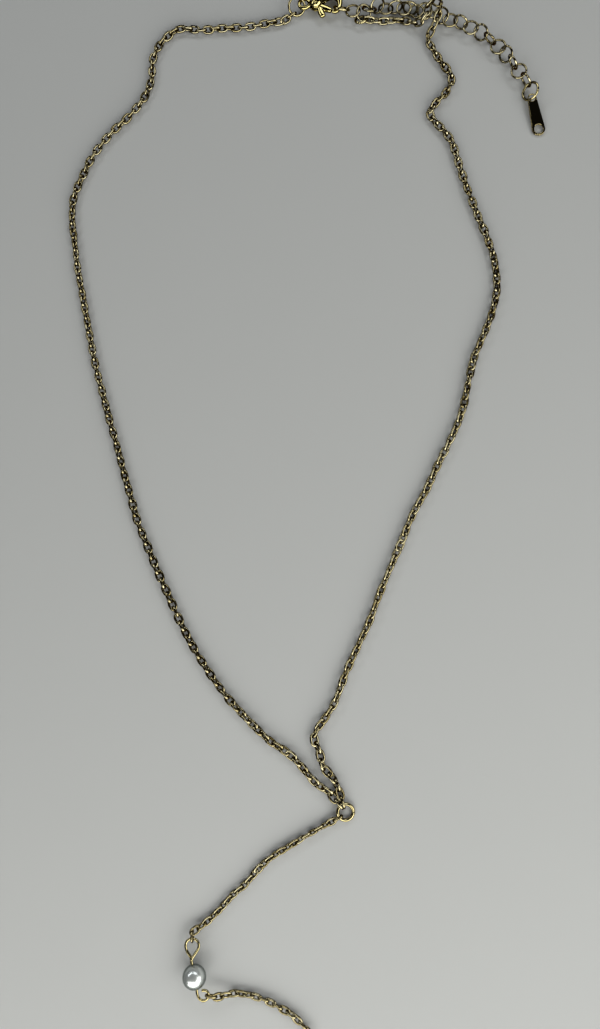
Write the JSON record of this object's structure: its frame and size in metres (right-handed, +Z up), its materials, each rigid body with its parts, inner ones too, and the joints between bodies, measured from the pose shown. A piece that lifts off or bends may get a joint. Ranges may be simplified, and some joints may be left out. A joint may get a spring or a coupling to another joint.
{
  "type": "long chain necklace",
  "caption": "Y-shaped fine cable-chain necklace laid flat: lobster clasp, extender chain with end tag, joining ring, and a drop chain with a pearl bead",
  "frame": {"origin": "on the floor under the middle of the bounding box of the laid-out necklace", "axes": "X to the right as seen with the clasp at the top, Y from the free end of the drop chain to the clasp, Z up off the surface it lies on"},
  "size_m": [0.1155, 0.2402, 0.0051],
  "materials": {
    "chain_metal": "bright gold-coloured plating",
    "ring_metal": "bright gold-coloured plating",
    "clasp_metal": "polished gold-coloured plating",
    "tag_metal": "mirror-polished flat sheet",
    "pearl": "pearly silver-grey coat"
  },
  "bodies": {
    "necklace": {"chain_left": "chain_metal", "chain_right": "chain_metal", "drop_chain_upper": "chain_metal", "drop_chain_lower": "chain_metal", "extender_chain": "chain_metal", "y_ring": "ring_metal", "clasp_ring": "ring_metal", "clasp_body": "clasp_metal", "clasp_pin": "clasp_metal", "extender_first_ring": "ring_metal", "joining_ring": "ring_metal", "end_ring": "ring_metal", "tag": "tag_metal", "pearl": "pearl", "pearl_pin": "ring_metal"},
    "lever": {"clasp_lever": "clasp_metal"}
  },
  "joints": [
    {"name": "lever_hinge", "type": "hinge", "parent": "necklace", "child": "lever", "pos_m": [0.0037, 0.11665, 0.0016], "axis": [0, 0, 1], "range_deg": [0, 25], "stiffness_Nm_per_rad": 0.0002}
  ]
}
